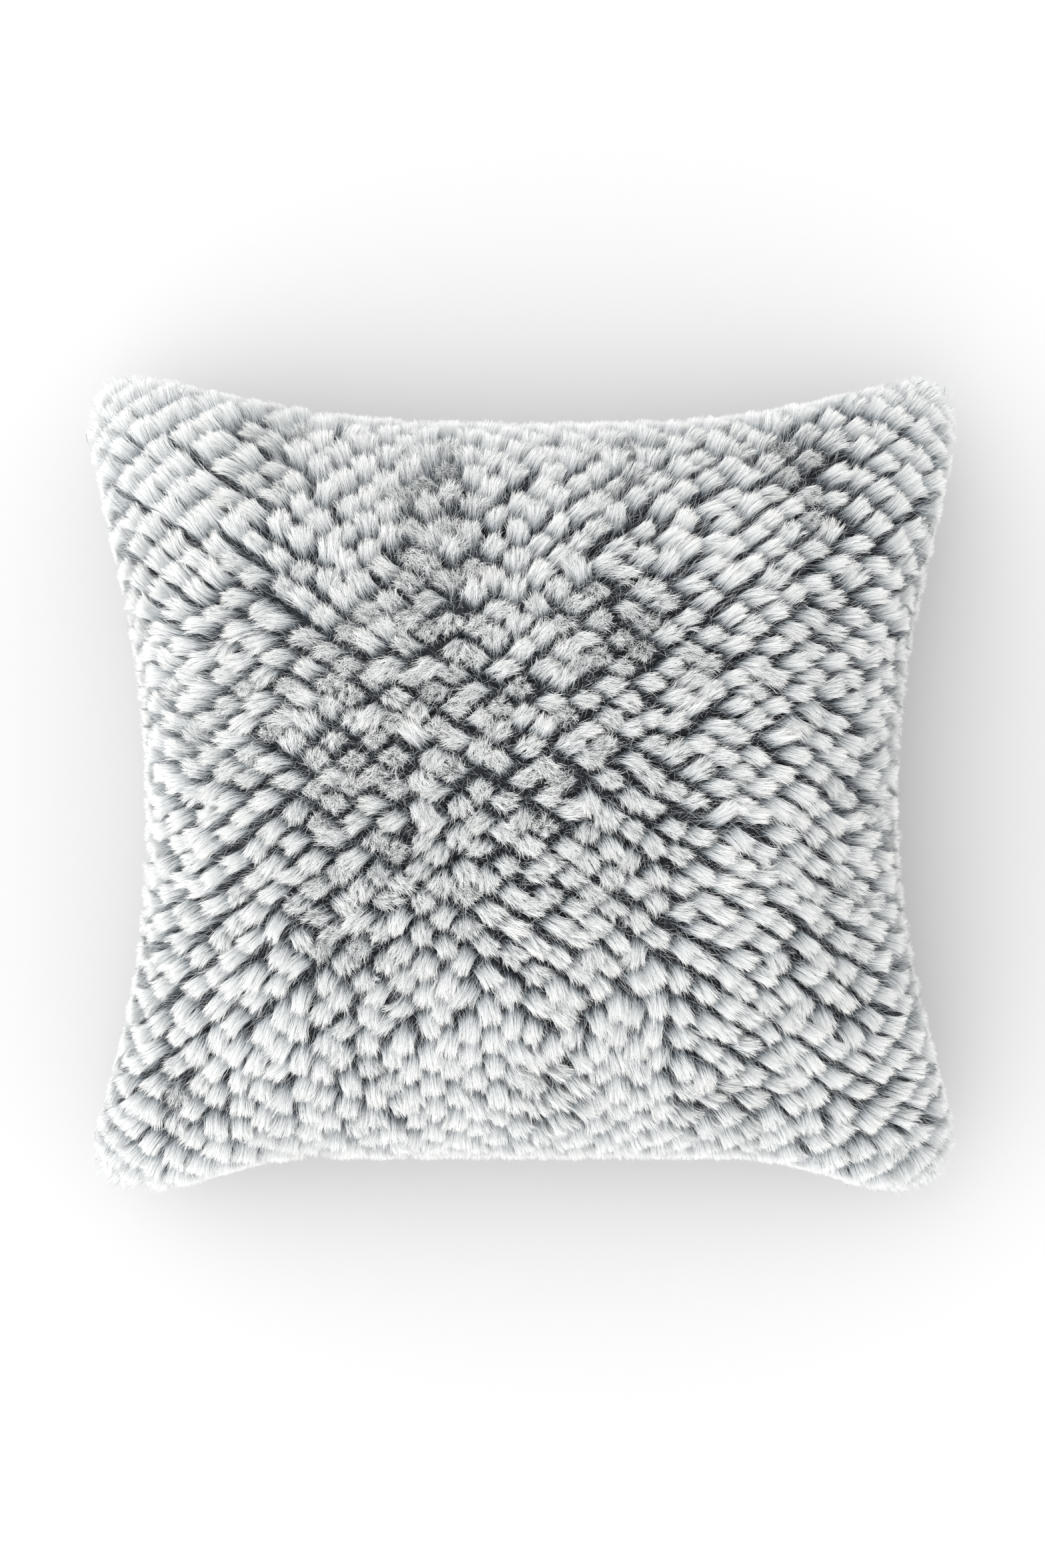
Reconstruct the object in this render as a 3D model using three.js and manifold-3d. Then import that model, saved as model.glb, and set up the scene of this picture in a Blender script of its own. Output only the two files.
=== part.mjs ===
// A square throw pillow in long-pile faux fur, lying on its back.
//
// Units are millimetres. +Z is up, out of the front face. +Y runs from the zip edge to the top edge.
// The origin is the middle of the patch that the pillow rests on.
//
// The cover is two fur panels that meet at a knife-edge seam, with a coil zip in the bottom seam.
// Inside it lies an insert: two cotton panels around a block of fibre fill.
// Each panel is a curved sheet over a unit square: s runs left to right and t bottom to top, from -1 to 1.

import * as THREE from "three";
import { mergeVertices } from "three/addons/utils/BufferGeometryUtils.js";
import Module from "manifold-3d";

// ---- Driving dimensions -------------------------------------------------------------------------

const COVER = {
  width: 464, // corner to corner along X, over the pile, before the corners are rounded
  depth: 437, // corner to corner along Y, in the same way
  loft: 165, // floor to crown
  seamHeight: 72, // the seam's height along the sides
  cornerDroop: 20, // how far the corners hang below the seam's height
  backDrop: 86, // how far the back would bulge below the seam with no floor under it
  thickness: 14, // backing and pile together
  cornerTrim: 8, // what a rounded corner loses in X and in Y
};
// How each side pulls in between its corners: by how much at its deepest place, how broad and blunt the
// dip is, and how far the deepest place moves off the middle. The zip keeps the bottom side straight.
const PULL_IN = {
  left: { depth: 37, breadth: 2.4, shift: 0.1 },
  right: { depth: 38, breadth: 2.1, shift: 0.05 },
  top: { depth: 33, breadth: 3, shift: -0.05 },
  bottom: { depth: 24, straightTo: 0.46, cornerAt: 0.95 },
};
const FULLNESS = 0.55; // exponent of the bulge: lower is blunter at the edges
const SEAM_GAP = 0.3;

const INSERT = { gap: 3.5, edgeGap: 9, sheet: 1, fillGap: 0.6 };
const INSERT_EDGE = COVER.thickness + INSERT.edgeGap;

const ZIP = {
  travel: 200, // how far the slider runs
  pitch: 4, // tooth to tooth on one row
  toothWidth: 1.7,
  toothReach: 1, // how far a tooth crosses the centre line
  rowInner: 1.4, // the rows' spines lie between these distances from the centre line
  rowOuter: 3,
  rowThickness: 2.2,
  tapeWidth: 12,
  tapeThickness: 0.6,
  tapeOverhang: 16, // tape past the last tooth, at each end
  stopLength: 2.6,
};
const SLIDER = { length: 12, nose: 9, tail: 6.6, plate: 1, mouth: 2.9, lip: 0.9, post: 2 };
const BRIDGE = { span: 6.2, width: 1.6, bar: 1, clearance: 1.6 };
const PULL = { length: 26, width: 7, neck: 6.2, thickness: 1, eyeLength: 4, eyeWidth: 3 };

const THREAD = { size: 0.9, swing: 1.3, stitch: 9, tapeLine: 10 }; // tapeLine is off the zip's centre line
const LABEL = { thickness: 0.5 };
const CLEARANCE = 0.3;

const GRID = { cover: 22, insert: 16 }; // cells along each side of a panel

const CORNER_BEGINS = 0.6; // where, along s and t, a corner starts to droop

// ---- The pillow's curved surfaces ---------------------------------------------------------------

const smoothstep = (low, high, x) => THREE.MathUtils.smoothstep(x, low, high);

// How far a side is pulled in at a place along it.
function pullIn(side, along) {
  if ("straightTo" in side) return side.depth * (1 - smoothstep(side.straightTo, side.cornerAt, Math.abs(along)));
  const a = Math.abs(along + side.shift * (1 - along * along));
  return side.depth * Math.pow(Math.max(0, 1 - Math.pow(a, side.breadth)), 1.65);
}

function seamHeight(s, t) {
  const corner = smoothstep(CORNER_BEGINS, 1, Math.abs(s)) * smoothstep(CORNER_BEGINS, 1, Math.abs(t));
  return COVER.seamHeight - COVER.cornerDroop * corner;
}

// A point of the front (side 1) or back (side -1) surface, inset mm inside the pile's outer surface.
// Along the edges the inset is edgeInset. Each side keeps half the seam's gap off the seam.
function surfacePoint(s, t, side, inset, edgeInset = inset) {
  const trim = COVER.cornerTrim * Math.pow(Math.abs(s * t), 9);
  const halfWidth = COVER.width / 2 - edgeInset - trim;
  const halfDepth = COVER.depth / 2 - edgeInset - trim;
  const pullX = pullIn(s < 0 ? PULL_IN.left : PULL_IN.right, t);
  const pullY = pullIn(t < 0 ? PULL_IN.bottom : PULL_IN.top, s);
  const x = s * (halfWidth - pullX * s * s);
  const y = t * (halfDepth - pullY * t * t);
  const bulge = Math.pow((1 - s * s) * (1 - t * t), FULLNESS);
  const seam = seamHeight(s, t) + (side * SEAM_GAP) / 2;
  const rise = side > 0 ? COVER.loft - SEAM_GAP / 2 - COVER.seamHeight : COVER.backDrop;
  const z = seam + side * (rise - inset) * bulge;
  return new THREE.Vector3(x, y, side > 0 ? z : Math.max(z, inset));
}

// Grid lines from -1 to 1, closer together towards the edges, where the surface turns most.
const gridLine = (i, steps) => Math.sin((i / steps - 0.5) * Math.PI);

// A grid of points, and its two triangles per cell facing +Z, or facing -Z when flipped.
function sheet(points, triangles, steps, pointAt, flipped) {
  const first = points.length;
  for (let j = 0; j <= steps; j++)
    for (let i = 0; i <= steps; i++) points.push(pointAt(gridLine(i, steps), gridLine(j, steps)));
  const at = (i, j) => first + j * (steps + 1) + i;
  for (let j = 0; j < steps; j++)
    for (let i = 0; i < steps; i++) {
      const [a, b, c, d] = [at(i, j), at(i + 1, j), at(i + 1, j + 1), at(i, j + 1)];
      triangles.push(...(flipped ? [a, c, b, a, d, c] : [a, b, c, a, c, d]));
    }
  const rim = [];
  for (let k = 0; k < steps; k++) rim.push(at(k, 0));
  for (let k = 0; k < steps; k++) rim.push(at(steps, k));
  for (let k = 0; k < steps; k++) rim.push(at(steps - k, steps));
  for (let k = 0; k < steps; k++) rim.push(at(0, steps - k));
  return rim;
}

function geometryOf(points, triangles) {
  const geometry = new THREE.BufferGeometry().setFromPoints(points).setIndex(triangles);
  return geometry;
}

// A closed body between an upper and a lower sheet over the same square, joined round their rims.
function bodyBetween(steps, upperAt, lowerAt) {
  const points = [];
  const triangles = [];
  const upper = sheet(points, triangles, steps, upperAt, false);
  const lower = sheet(points, triangles, steps, lowerAt, true);
  upper.forEach((a, k) => {
    const next = (k + 1) % upper.length;
    triangles.push(lower[k], upper[next], a, lower[k], lower[next], upper[next]);
  });
  return geometryOf(points, triangles);
}

// A panel between two insets on one side of the seam.
function panelGeometry(steps, side, outer, inner, outerEdge = outer, innerEdge = inner) {
  const outerAt = (s, t) => surfacePoint(s, t, side, outer, outerEdge);
  const innerAt = (s, t) => surfacePoint(s, t, side, inner, innerEdge);
  return side > 0 ? bodyBetween(steps, outerAt, innerAt) : bodyBetween(steps, innerAt, outerAt);
}

// A label: a thin patch over part of the front or back surface, between two insets.
function patchGeometry(side, inset, thickness, sRange, tRange, steps = 5) {
  const place = ([from, to], u) => from + ((to - from) * (u + 1)) / 2;
  const at = (depth) => (u, v) =>
    surfacePoint(place(sRange, u), place(tRange, v), side, depth, INSERT_EDGE - INSERT.gap + depth - inset);
  const [upper, lower] = side > 0 ? [inset, inset + thickness] : [inset + thickness, inset];
  return bodyBetween(steps, at(upper), at(lower));
}

// ---- Solids: joins and cuts ---------------------------------------------------------------------

const wasm = await Module();
wasm.setup();

function solidOf(geometry) {
  const bare = geometry.index ? geometry.clone() : geometry;
  bare.deleteAttribute("normal");
  bare.deleteAttribute("uv");
  const merged = mergeVertices(bare, 1e-4);
  return new wasm.Manifold(
    new wasm.Mesh({
      numProp: 3,
      vertProperties: new Float32Array(merged.attributes.position.array),
      triVerts: new Uint32Array(merged.index.array),
    }),
  );
}

function geometryOfSolid(solid) {
  const mesh = solid.getMesh();
  return new THREE.BufferGeometry()
    .setAttribute("position", new THREE.BufferAttribute(mesh.vertProperties, 3))
    .setIndex(new THREE.BufferAttribute(mesh.triVerts, 1));
}

const joined = (...geometries) => geometryOfSolid(geometries.map(solidOf).reduce((a, b) => a.add(b)));
const cut = (geometry, ...tools) =>
  geometryOfSolid(tools.map(solidOf).reduce((a, b) => a.subtract(b), solidOf(geometry)));

const box = (from, to) =>
  new THREE.BoxGeometry(to[0] - from[0], to[1] - from[1], to[2] - from[2]).translate(
    (from[0] + to[0]) / 2,
    (from[1] + to[1]) / 2,
    (from[2] + to[2]) / 2,
  );

// An outline drawn in X and Z, given a thickness along Y about y = 0.
function slab(outline, thickness) {
  const shape = new THREE.Shape(outline.map(([x, z]) => new THREE.Vector2(x, z)));
  return slabOfShape(shape, thickness);
}

function slabOfShape(shape, thickness) {
  return new THREE.ExtrudeGeometry(shape, { depth: thickness, bevelEnabled: false, curveSegments: 6 })
    .rotateX(Math.PI / 2)
    .translate(0, thickness / 2, 0);
}

// ---- Materials ----------------------------------------------------------------------------------

const material = (color, roughness, metalness = 0) =>
  new THREE.MeshStandardMaterial({ color, roughness, metalness });

const FUR = material(0xd9dad7, 0.95);
const COTTON = material(0xf0eee8, 0.9);
const FIBRE = material(0xfafafa, 1);
const THREAD_GREY = material(0x8f959c, 0.8);
const TAPE = material(0xb9bcc0, 0.85);
const NYLON = material(0xa6abb1, 0.45);
const NICKEL = material(0xb8b9bb, 0.32, 1);
const SATIN = material(0xf4f3ef, 0.6);

const pillow = new THREE.Group();

function add(name, geometry, finish, parent = pillow) {
  const mesh = new THREE.Mesh(geometry, finish);
  mesh.name = name;
  parent.add(mesh);
  return mesh;
}

// ---- Cover --------------------------------------------------------------------------------------

// The zip's centre line: just inside the cover at the middle of its bottom edge, at the seam's height.
const ZIP_Y = -(COVER.depth / 2 - PULL_IN.bottom.depth - COVER.thickness) + CLEARANCE + ZIP.tapeThickness / 2;
const ZIP_Z = COVER.seamHeight;
const CHAIN_FROM = -ZIP.travel / 2 - SLIDER.length;
const CHAIN_TO = ZIP.travel / 2 - SLIDER.length / 2 + 1.8; // the last tooth, just behind the slider's post

// The pocket holds the tapes. The channel lets the slider and its pull run between the two panels.
function zipPocket() {
  const halfLength = ZIP.travel / 2 + ZIP.tapeOverhang + SLIDER.length;
  const halfHeight = ZIP.rowOuter + ZIP.tapeWidth + 2 * CLEARANCE;
  const wall = ZIP_Y - ZIP.tapeThickness / 2 - CLEARANCE;
  return box([-halfLength, wall, ZIP_Z - halfHeight], [halfLength, wall + 30, ZIP_Z + halfHeight]);
}

function zipChannel() {
  const halfLength = ZIP.travel / 2 + PULL.length + SLIDER.length / 2;
  const halfHeight = SLIDER.nose / 2 + 1.5;
  return box([-halfLength, -COVER.depth, ZIP_Z - halfHeight], [halfLength, ZIP_Y + 5, ZIP_Z + halfHeight]);
}

function buildCover() {
  const panel = (side) =>
    cut(panelGeometry(GRID.cover, side, 0, COVER.thickness), zipPocket(), zipChannel());
  add("front_cover", panel(1), FUR);
  add("back_cover", panel(-1), FUR);
}

// ---- Insert -------------------------------------------------------------------------------------

function buildInsert() {
  const steps = GRID.insert;
  const outer = COVER.thickness + INSERT.gap;
  const inner = outer + INSERT.sheet;
  const fill = inner + INSERT.fillGap;
  const innerEdge = INSERT_EDGE + 3 * INSERT.sheet; // a wider rim, where the sewn edges are turned in
  const fillEdge = innerEdge + 2;
  add("insert_front_panel", panelGeometry(steps, 1, outer, inner, INSERT_EDGE, innerEdge), COTTON);
  add("insert_back_panel", panelGeometry(steps, -1, outer, inner, INSERT_EDGE, innerEdge), COTTON);
  const fillAt = (side) => (s, t) => surfacePoint(s, t, side, fill, fillEdge);
  add("fibre_fill", bodyBetween(steps, fillAt(1), fillAt(-1)), FIBRE);
}

// ---- Sewing threads -----------------------------------------------------------------------------

// A run of zigzag stitches as one square-section thread along a line given by lineAt(u), u from 0 to 1.
// The thread swings up and down by THREAD.swing at each stitch.
function threadGeometry(lineAt, length) {
  const stitches = Math.max(2, Math.round(length / THREAD.stitch));
  const half = THREAD.size / 2;
  const corners = [[half, -half], [-half, -half], [-half, half], [half, half]];
  const points = [];
  const triangles = [];
  for (let k = 0; k <= stitches; k++) {
    const here = lineAt(k / stitches);
    const ahead = lineAt(Math.min(1, (k + 0.5) / stitches)).sub(lineAt(Math.max(0, (k - 0.5) / stitches)));
    const across = new THREE.Vector3(-ahead.y, ahead.x, 0).normalize();
    const swing = (k % 2 ? 1 : -1) * THREAD.swing;
    for (const [side, up] of corners)
      points.push(here.clone().addScaledVector(across, side).setZ(here.z + swing + up));
  }
  for (let k = 0; k < stitches; k++)
    corners.forEach((_, c) => {
      const [a, b] = [4 * k + c, 4 * k + ((c + 1) % 4)];
      triangles.push(a, a + 4, b, b, a + 4, b + 4);
    });
  const end = 4 * stitches;
  triangles.push(0, 1, 2, 0, 2, 3, end, end + 2, end + 1, end, end + 3, end + 2);
  return geometryOf(points, triangles);
}

// A seam along part of one side of the square, at a given inset. fromTo are (s, t) at its two ends.
function seamThread(inset, [s0, t0], [s1, t1]) {
  const lineAt = (u) => surfacePoint(s0 + (s1 - s0) * u, t0 + (t1 - t0) * u, 1, 0, inset).setZ(
    seamHeight(s0 + (s1 - s0) * u, t0 + (t1 - t0) * u),
  );
  const length = lineAt(0).distanceTo(lineAt(1));
  return threadGeometry(lineAt, length);
}

function buildThreads() {
  const coverInset = COVER.thickness + 3;
  const insertInset = INSERT_EDGE - 3;
  const zipEnd = (ZIP.travel / 2 + ZIP.tapeOverhang + SLIDER.length + 3) / (COVER.width / 2 - COVER.thickness);
  const runs = {
    left: [[-1, 0.94], [-1, -0.94]],
    right: [[1, -0.94], [1, 0.94]],
    top: [[0.94, 1], [-0.94, 1]],
  };
  for (const [name, [from, to]] of Object.entries(runs)) {
    add("cover_seam_thread_" + name, seamThread(coverInset, from, to), THREAD_GREY);
    add("insert_seam_thread_" + name, seamThread(insertInset, from, to), THREAD_GREY);
  }
  add("cover_seam_thread_zip_left", seamThread(coverInset, [-0.94, -1], [-zipEnd, -1]), THREAD_GREY);
  add("cover_seam_thread_zip_right", seamThread(coverInset, [zipEnd, -1], [0.94, -1]), THREAD_GREY);
  add("insert_closing_thread", seamThread(insertInset, [-0.94, -1], [0.94, -1]), THREAD_GREY);
}

// The stitching that holds one tape to its panel, behind the tape. Height is from the centre line.
function tapeThread(height) {
  const y = ZIP.tapeThickness / 2 + CLEARANCE + THREAD.size / 2;
  const [from, to] = [CHAIN_FROM, CHAIN_TO + ZIP.tapeOverhang / 2];
  const lineAt = (u) => new THREE.Vector3(from + (to - from) * u, y, height);
  return threadGeometry(lineAt, to - from);
}

// ---- Zip ----------------------------------------------------------------------------------------

// One row of teeth: a spine with teeth that reach across the centre line, drawn in X and Z.
// The second row is shifted by half a pitch, so that the two mesh.
function toothRow(shift) {
  const reach = -ZIP.toothReach;
  const outline = [[CHAIN_TO, ZIP.rowOuter], [CHAIN_FROM, ZIP.rowOuter], [CHAIN_FROM, ZIP.rowInner]];
  for (let x = CHAIN_FROM + 0.4 + shift; x + ZIP.toothWidth < CHAIN_TO; x += ZIP.pitch)
    outline.push(
      [x, ZIP.rowInner],
      [x + 0.2, reach],
      [x + ZIP.toothWidth - 0.2, reach],
      [x + ZIP.toothWidth, ZIP.rowInner],
    );
  outline.push([CHAIN_TO, ZIP.rowInner]);
  return slab(outline, ZIP.rowThickness);
}

// A tape strip with a rounded outer edge at both ends.
function tape() {
  const from = CHAIN_FROM - ZIP.tapeOverhang / 2;
  const to = CHAIN_TO + ZIP.tapeOverhang;
  const near = ZIP.rowOuter + CLEARANCE;
  const far = ZIP.rowOuter + ZIP.tapeWidth;
  const shape = new THREE.Shape();
  shape.moveTo(from, near);
  shape.lineTo(to, near);
  shape.lineTo(to, far - 3);
  shape.absarc(to - 3, far - 3, 3, 0, Math.PI / 2);
  shape.lineTo(from + 3, far);
  shape.absarc(from + 3, far - 3, 3, Math.PI / 2, Math.PI);
  return slabOfShape(shape, ZIP.tapeThickness);
}

// The slider's plate, wide at the nose (+X), where the two rows come in, and narrow at the tail.
function sliderPlate(thickness) {
  const half = SLIDER.length / 2;
  const shape = new THREE.Shape();
  shape.moveTo(-half, -SLIDER.tail / 2);
  shape.lineTo(half - 5, -SLIDER.nose / 2);
  shape.lineTo(half - 1.5, -SLIDER.nose / 2);
  shape.quadraticCurveTo(half, -SLIDER.nose / 2, half, -SLIDER.nose / 2 + 1.5);
  shape.lineTo(half, SLIDER.nose / 2 - 1.5);
  shape.quadraticCurveTo(half, SLIDER.nose / 2, half - 1.5, SLIDER.nose / 2);
  shape.lineTo(half - 5, SLIDER.nose / 2);
  shape.lineTo(-half, SLIDER.tail / 2);
  return slabOfShape(shape, thickness);
}

// Slider body about its own centre: two plates joined by the post, with lips beside the tape slot,
// and a bridge outside the front plate for the pull. -Y is outwards.
function sliderGeometry() {
  const inside = SLIDER.mouth / 2;
  const outside = inside + SLIDER.plate;
  const slot = ZIP.tapeThickness / 2 + CLEARANCE;
  const overlap = 0.05;
  const plates = [-1, 1].map((y) => sliderPlate(SLIDER.plate).translate(0, y * (inside + SLIDER.plate / 2), 0));
  const lips = [];
  for (const y of [-1, 1])
    for (const z of [-1, 1]) {
      const [near, far] = [y * slot, y * (inside + overlap)].sort((a, b) => a - b);
      const [low, high] = [z * (SLIDER.nose / 2 - SLIDER.lip), (z * SLIDER.nose) / 2].sort((a, b) => a - b);
      lips.push(box([1, near, low], [SLIDER.length / 2 - 1.5, far, high]));
    }
  const post = slab([[2.6, 0], [3.6, -SLIDER.post / 2], [5.4, -0.5], [5.4, 0.5], [3.6, SLIDER.post / 2]],
    SLIDER.mouth + 2 * overlap);
  const legTop = -outside - BRIDGE.clearance - BRIDGE.bar;
  const [wide, deep] = [BRIDGE.width / 2, BRIDGE.bar];
  const ends = BRIDGE.span / 2;
  const legs = [-1, 1].map((x) => {
    const [from, to] = [x * ends, x * (ends - deep)].sort((a, b) => a - b);
    return box([from, legTop, -wide], [to, -outside + overlap, wide]);
  });
  const bar = box([-ends, legTop, -wide], [ends, legTop + deep, wide]);
  return joined(...plates, ...lips, post, ...legs, bar);
}

// The pull about its pivot, which is the bar at the end of its eye. It points to -X at rest.
function pullGeometry() {
  const { length, width, neck, eyeLength, eyeWidth, thickness } = PULL;
  const end = thickness / 2;
  const shape = new THREE.Shape();
  shape.moveTo(end, -neck / 2 + 0.6);
  shape.lineTo(end, neck / 2 - 0.6);
  shape.quadraticCurveTo(end, neck / 2, end - 0.6, neck / 2);
  shape.lineTo(-eyeLength - 2, neck / 2);
  shape.lineTo(-length + width / 2, width / 2);
  shape.absarc(-length + width / 2, 0, width / 2, Math.PI / 2, (3 * Math.PI) / 2);
  shape.lineTo(-eyeLength - 2, -neck / 2);
  shape.lineTo(end - 0.6, -neck / 2);
  shape.quadraticCurveTo(end, -neck / 2, end, -neck / 2 + 0.6);
  const eye = new THREE.Path();
  eye.moveTo(-end, -eyeWidth / 2);
  eye.lineTo(-end, eyeWidth / 2);
  eye.lineTo(-end - eyeLength, eyeWidth / 2);
  eye.lineTo(-end - eyeLength, -eyeWidth / 2);
  eye.closePath();
  shape.holes.push(eye);
  const grip = new THREE.Path();
  grip.absarc(-length + width / 2, 0, 1.4, 0, 2 * Math.PI, true);
  shape.holes.push(grip);
  return slabOfShape(shape, thickness);
}

function buildZip() {
  const zip = new THREE.Group();
  zip.position.set(0, ZIP_Y, ZIP_Z);
  pillow.add(zip);
  const lower = (mesh) => mesh.scale.set(1, 1, -1);

  add("zip_teeth_front", toothRow(0), NYLON, zip);
  lower(add("zip_teeth_back", toothRow(ZIP.pitch / 2), NYLON, zip));
  add("zip_tape_front", tape(), TAPE, zip);
  lower(add("zip_tape_back", tape(), TAPE, zip));
  add("zip_stitching_front", tapeThread(THREAD.tapeLine), THREAD_GREY, zip);
  add("zip_stitching_back", tapeThread(-THREAD.tapeLine), THREAD_GREY, zip);

  const stopFrom = CHAIN_TO + CLEARANCE;
  const topStop = () =>
    box([stopFrom, -ZIP.rowThickness / 2, ZIP.rowInner], [stopFrom + ZIP.stopLength, ZIP.rowThickness / 2, ZIP.rowOuter]);
  add("zip_top_stop_front", topStop(), NICKEL, zip);
  lower(add("zip_top_stop_back", topStop(), NICKEL, zip));
  const bottomFrom = CHAIN_FROM - CLEARANCE - ZIP.stopLength;
  add(
    "zip_bottom_stop",
    box(
      [bottomFrom, -ZIP.rowThickness / 2, -ZIP.rowOuter],
      [bottomFrom + ZIP.stopLength, ZIP.rowThickness / 2, ZIP.rowOuter],
    ),
    NICKEL,
    zip,
  );

  const slider = new THREE.Group();
  slider.position.x = ZIP.travel / 2;
  zip.add(slider);
  add("zip_slider", sliderGeometry(), NICKEL, slider);
  const pull = add("zip_pull", pullGeometry(), NICKEL, slider);
  pull.position.y = -(SLIDER.mouth / 2 + SLIDER.plate + BRIDGE.clearance / 2);
}

// ---- Labels -------------------------------------------------------------------------------------

function buildLabels() {
  const inset = COVER.thickness + (INSERT.gap - LABEL.thickness) / 2;
  add("care_label", patchGeometry(-1, inset, LABEL.thickness, [-0.9, -0.74], [-0.52, -0.4]), SATIN);
  add("insert_label", patchGeometry(-1, inset, LABEL.thickness, [0.7, 0.86], [-0.5, -0.34]), SATIN);
}

buildCover();
buildInsert();
buildThreads();
buildZip();
buildLabels();

// The origin is under the middle of the footprint.
const footprint = new THREE.Box3().setFromObject(pillow).getCenter(new THREE.Vector3());
pillow.position.set(-footprint.x, -footprint.y, 0);

export default pillow;
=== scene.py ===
"""A throw pillow in long-pile faux fur, seen from straight above its front face.

The fur is real geometry: each tuft is a fan of ribbons rooted on the cover's dark backing.
Everything is in metres. A panel's points are given by s, left to right, and t, bottom to top,
both from -1 to 1 between its seams.
"""

import math

import bpy
import numpy as np
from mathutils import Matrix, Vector


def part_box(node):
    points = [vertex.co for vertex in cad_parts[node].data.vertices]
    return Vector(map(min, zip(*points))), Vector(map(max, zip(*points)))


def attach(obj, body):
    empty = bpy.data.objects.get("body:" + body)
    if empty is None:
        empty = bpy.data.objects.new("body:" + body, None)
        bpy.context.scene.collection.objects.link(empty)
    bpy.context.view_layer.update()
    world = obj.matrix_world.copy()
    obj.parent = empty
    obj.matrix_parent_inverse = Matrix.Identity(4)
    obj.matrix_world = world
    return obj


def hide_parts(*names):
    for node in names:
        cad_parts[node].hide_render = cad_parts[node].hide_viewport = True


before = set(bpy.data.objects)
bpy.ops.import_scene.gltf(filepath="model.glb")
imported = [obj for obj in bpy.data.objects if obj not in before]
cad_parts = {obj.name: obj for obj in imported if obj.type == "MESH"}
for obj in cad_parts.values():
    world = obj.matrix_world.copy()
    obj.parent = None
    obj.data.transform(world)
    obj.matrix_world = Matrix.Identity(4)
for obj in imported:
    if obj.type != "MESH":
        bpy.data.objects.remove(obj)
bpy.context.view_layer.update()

# ---- Driving dimensions ---------------------------------------------------------------------------


def corners(node):
    """A CAD node's lowest and highest corners."""
    return [np.array(corner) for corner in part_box(node)]


# The cover. Its outline pulls in between its four ears.
LOFT = corners("front_cover")[1][2]
SEAM_HEIGHT = corners("back_cover")[1][2]
WIDTH = 0.464
DEPTH = 0.437
CENTRE_Y = 0.0012  # the cover's own middle, which is a little off the footprint's
CORNER_BEGINS = 0.6  # where, along s and t, the seam starts to droop towards an ear
CORNER_DROOP = 0.020
EAR_HEIGHT = SEAM_HEIGHT - CORNER_DROOP
BACK_DROP = 0.086  # how far the back would hang below the seam if the floor didn't flatten it
CORNER_TRIM = 0.008
PULL_IN = {  # for each side: how deep, how blunt, and how far off its middle
    "left": (0.037, 2.4, 0.1),
    "right": (0.038, 2.1, 0.05),
    "top": (0.033, 3.0, -0.05),
}
ZIP_SIDE = (0.024, 0.46, 0.95)  # how deep, how far it is straight, and where its ears begin
EAR_FLARE = 1.65  # exponent of the pull: higher makes the ears stand out further
FULLNESS = 0.55  # exponent of the bulge: lower is blunter at the edges
COVER_THICKNESS = 0.014  # backing and pile together, as the CAD has them
BACKING_THICKNESS = 0.0012

# The pile. It stands between the backing and the CAD cover's outer surface.
PILE = 0.0135
PILE_LENGTH = 0.0166  # along a strand, which leans
TRIM = 0.0045  # how far the front's tips stand out past the CAD cover's outline
BACK_TRIM = TRIM - 0.004  # and the back's, which the front's cover
EAR_ROUND = 0.005  # how much less the tips stand out well above the ears
FLOOR_GAP = 0.0004  # the lowest fibres lie this far above the floor
FLOOR_UNEVEN = 0.0012  # and up to this much more

# The zip lies along X. Heights across it are measured from its centre line.
ZIP_Y = sum(corner[1] for corner in corners("zip_tape_front")) / 2
ZIP_Z = SEAM_HEIGHT
PARTING_HALF = 0.124  # the pile is parted over this half length of the zip
RECESS_HALF = 0.129  # the backing is tucked in behind the zip, to the end of the pull's travel
RECESS = 0.0048
BARE_HALF = 0.121  # the backing has no pile beside the zip, as far as the tapes reach
BARE_HEIGHT = 0.006
PARTING = 0.0054  # half the parting's height at the zip, for the slider to pass
PARTING_FLARE = 0.25  # how much it opens for each metre outwards

STITCH = 0.0045
STITCH_SWING = 0.0009
THREAD_RADIUS = 0.00042
SEAM_ALLOWANCE = 0.003

INSERT_INSET = LOFT - corners("insert_front_panel")[1][2]
INSERT_EDGE = 0.023  # how far the insert's seam lies inside the cover's outline
SWELL_CAP = 0.0025  # the most that the insert's panels swell

# The tufts' lattice on the flat cloth: two steps, from one tuft to its next two neighbours.
STEP_UP = np.array([0.0098, 0.0080])
STEP_DOWN = np.array([0.0104, -0.0070])

HEAD_GATHER = 0.84  # a tuft's head against its cell
WHORL = (-0.055, 0.042)  # where the pile stands upright; it is combed away from here
LEAN = 0.62
UPRIGHT_LEAN = 0.35  # pile that leans less than this counts as upright
COMBED = np.array([-1.0, 0.1, 0])  # the side where the pile is combed flattest
LOCKS = 40  # small locks of strands in each tuft
SEGMENTS = 3  # flat stretches along each strand
SHADES = 32  # columns of colouring that a strand can take
PILE_SHADING = 0.6  # how far a strand catches the light as the pile around it does

CAMERA_LENS = 100.0
CAMERA_SENSOR = 36.0
VIEW_WIDTH = 0.5425  # what the picture spans across the seam
SKY_STRENGTH = 1.14
SUN_STRENGTH = 2.4
SUN_SPREAD = math.radians(110)
SUN_PLACE = (-1.5, -0.2, 1.7)
FLOOR_SHADE = 0.61

rng = np.random.default_rng(7)


def smoothstep(low, high, x):
    k = np.clip((x - low) / (high - low), 0, 1)
    return k * k * (3 - 2 * k)


def unit(v):
    return v / np.maximum(np.linalg.norm(v, axis=-1, keepdims=True), 1e-12)


# ---- The pillow's surface -------------------------------------------------------------------------


def side_dip(side, along):
    """How far a side is pulled in at each place along it."""
    depth, breadth, shift = PULL_IN[side]
    off_middle = np.abs(along + shift * (1 - along * along))
    return depth * np.clip(1 - off_middle**breadth, 0, 1) ** EAR_FLARE


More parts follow.
